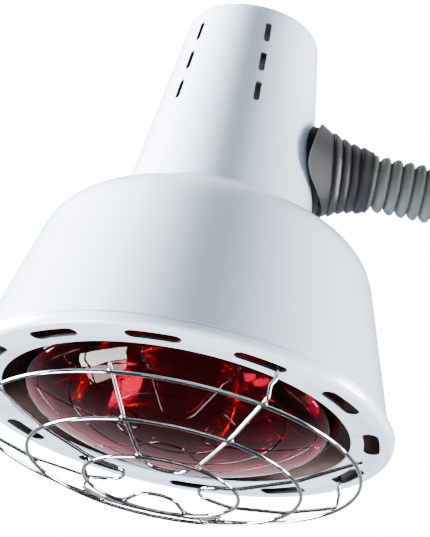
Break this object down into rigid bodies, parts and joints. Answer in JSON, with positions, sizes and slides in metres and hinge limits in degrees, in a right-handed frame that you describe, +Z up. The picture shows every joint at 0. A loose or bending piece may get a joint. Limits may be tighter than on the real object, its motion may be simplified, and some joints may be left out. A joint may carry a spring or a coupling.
{
  "type": "infrared heat therapy lamp",
  "caption": "Therapy lamp head with a steep shade, vented neck, red reflector bulb behind a wire guard, and a bendable ribbed gooseneck arm.",
  "frame": {"origin": "middle of the mounting stud's threaded span, on its axis", "axes": "+Z up along the stud into the gooseneck, -X towards the lamp head, +Y completes the frame"},
  "size_m": [0.2894, 0.162, 0.2555],
  "materials": {
    "enamel": "gloss",
    "guard_chrome": "polished",
    "ruby_glass": "gloss",
    "mirror_glass": "polished",
    "porcelain": "gloss",
    "steel": "satin",
    "brass": "satin",
    "cap_metal": "satin",
    "boot_rubber": "satin",
    "sleeve_plastic": "gloss",
    "block_plastic": "matte",
    "lead_red": "matte",
    "lead_blue": "matte",
    "clear_glass": "gloss",
    "nickel": "satin"
  },
  "bodies": {
    "base": {"base_fitting": "nickel", "grub_screw": "steel", "sleeve_01": "sleeve_plastic", "conduit_01": "steel"},
    "link_02": {"sleeve_02": "sleeve_plastic", "conduit_02": "steel"},
    "link_03": {"sleeve_03": "sleeve_plastic", "conduit_03": "steel"},
    "link_04": {"sleeve_04": "sleeve_plastic", "conduit_04": "steel"},
    "link_05": {"sleeve_05": "sleeve_plastic", "conduit_05": "steel"},
    "link_06": {"sleeve_06": "sleeve_plastic", "conduit_06": "steel"},
    "link_07": {"sleeve_07": "sleeve_plastic", "conduit_07": "steel"},
    "link_08": {"sleeve_08": "sleeve_plastic", "conduit_08": "steel"},
    "link_09": {"sleeve_09": "sleeve_plastic", "conduit_09": "steel"},
    "head": {"rim_ring": "enamel", "shade": "enamel", "neck_shell": "enamel", "neck_screws": "steel", "socket_bracket": "steel", "lampholder": "porcelain", "shell_contact": "brass", "contact_spring": "brass", "holder_screws": "steel", "terminal_block": "block_plastic", "lead_live": "lead_red", "lead_neutral": "lead_blue", "port_gasket": "boot_rubber", "head_fitting": "nickel", "lock_washer": "steel", "lock_nut": "steel", "boot": "boot_rubber", "sleeve_10": "sleeve_plastic", "conduit_10": "steel"},
    "guard": {"guard_ring_outer": "guard_chrome", "guard_ring_middle": "guard_chrome", "guard_ring_inner": "guard_chrome", "guard_wire_1": "guard_chrome", "guard_wire_2": "guard_chrome", "guard_wire_3": "guard_chrome", "guard_wire_4": "guard_chrome"},
    "contact": {"contact_plunger": "brass"},
    "bulb": {"bulb_lens": "ruby_glass", "bulb_reflector": "mirror_glass", "bulb_collar": "cap_metal", "bulb_cap": "cap_metal", "bulb_insulator": "block_plastic", "bulb_tip": "cap_metal", "bulb_press": "clear_glass", "bulb_filament": "steel", "bulb_leads": "steel"}
  },
  "joints": [
    {"name": "arm_lower_a", "type": "hinge", "parent": "base", "child": "link_02", "pos_m": [0, 0, 0.0479], "axis": [0, 1, 0], "range_deg": [-9, 10]},
    {"name": "arm_side_a", "type": "hinge", "parent": "link_02", "child": "link_03", "pos_m": [0, 0, 0.0758], "axis": [1, 0, 0], "range_deg": [-10, 10]},
    {"name": "arm_lower_b", "type": "hinge", "parent": "link_03", "child": "link_04", "pos_m": [0, 0, 0.1037], "axis": [0, 1, 0], "range_deg": [-9, 10]},
    {"name": "arm_lower_c", "type": "hinge", "parent": "link_04", "child": "link_05", "pos_m": [-0.00435, 0, 0.13114], "axis": [0, 1, 0], "range_deg": [-9, 10]},
    {"name": "arm_side_b", "type": "hinge", "parent": "link_05", "child": "link_06", "pos_m": [-0.01696, 0, 0.1559], "axis": [0.809, 0, 0.5878], "range_deg": [-10, 10]},
    {"name": "arm_upper_a", "type": "hinge", "parent": "link_06", "child": "link_07", "pos_m": [-0.03661, 0, 0.17555], "axis": [0, 1, 0], "range_deg": [-9, 10]},
    {"name": "arm_upper_b", "type": "hinge", "parent": "link_07", "child": "link_08", "pos_m": [-0.06137, 0, 0.18816], "axis": [0, 1, 0], "range_deg": [-9, 10]},
    {"name": "arm_side_c", "type": "hinge", "parent": "link_08", "child": "link_09", "pos_m": [-0.08881, 0, 0.19251], "axis": [0, 0, 1], "range_deg": [-10, 10]},
    {"name": "arm_upper_c", "type": "hinge", "parent": "link_09", "child": "head", "pos_m": [-0.11671, 0, 0.19251], "axis": [0, 1, 0], "range_deg": [-9, 10]},
    {"name": "guard_twist", "type": "hinge", "parent": "head", "child": "guard", "pos_m": [-0.19276, 0, 0.08151], "axis": [0, 0, 1], "range_deg": [-10.5, 0]},
    {"name": "contact_travel", "type": "slide", "parent": "head", "child": "contact", "axis": [0, 0, 1], "range_m": [-0.00202, 0], "deforming": ["contact_spring"]},
    {"name": "bulb_turn", "type": "hinge", "parent": "contact", "child": "bulb", "pos_m": [-0.19276, 0, 0.20151], "axis": [0, 0, 1], "range_deg": [-200, 0]}
  ],
  "couplings": [
    {"joint": "arm_lower_b", "follows": "arm_lower_a", "ratio": 1},
    {"joint": "arm_lower_c", "follows": "arm_lower_a", "ratio": 1},
    {"joint": "arm_upper_b", "follows": "arm_upper_a", "ratio": 1},
    {"joint": "arm_upper_c", "follows": "arm_upper_a", "ratio": 1},
    {"joint": "arm_side_b", "follows": "arm_side_a", "ratio": 1},
    {"joint": "arm_side_c", "follows": "arm_side_a", "ratio": 1},
    {"joint": "contact_travel", "follows": "bulb_turn", "m_per_rad": 0.0005777}
  ]
}
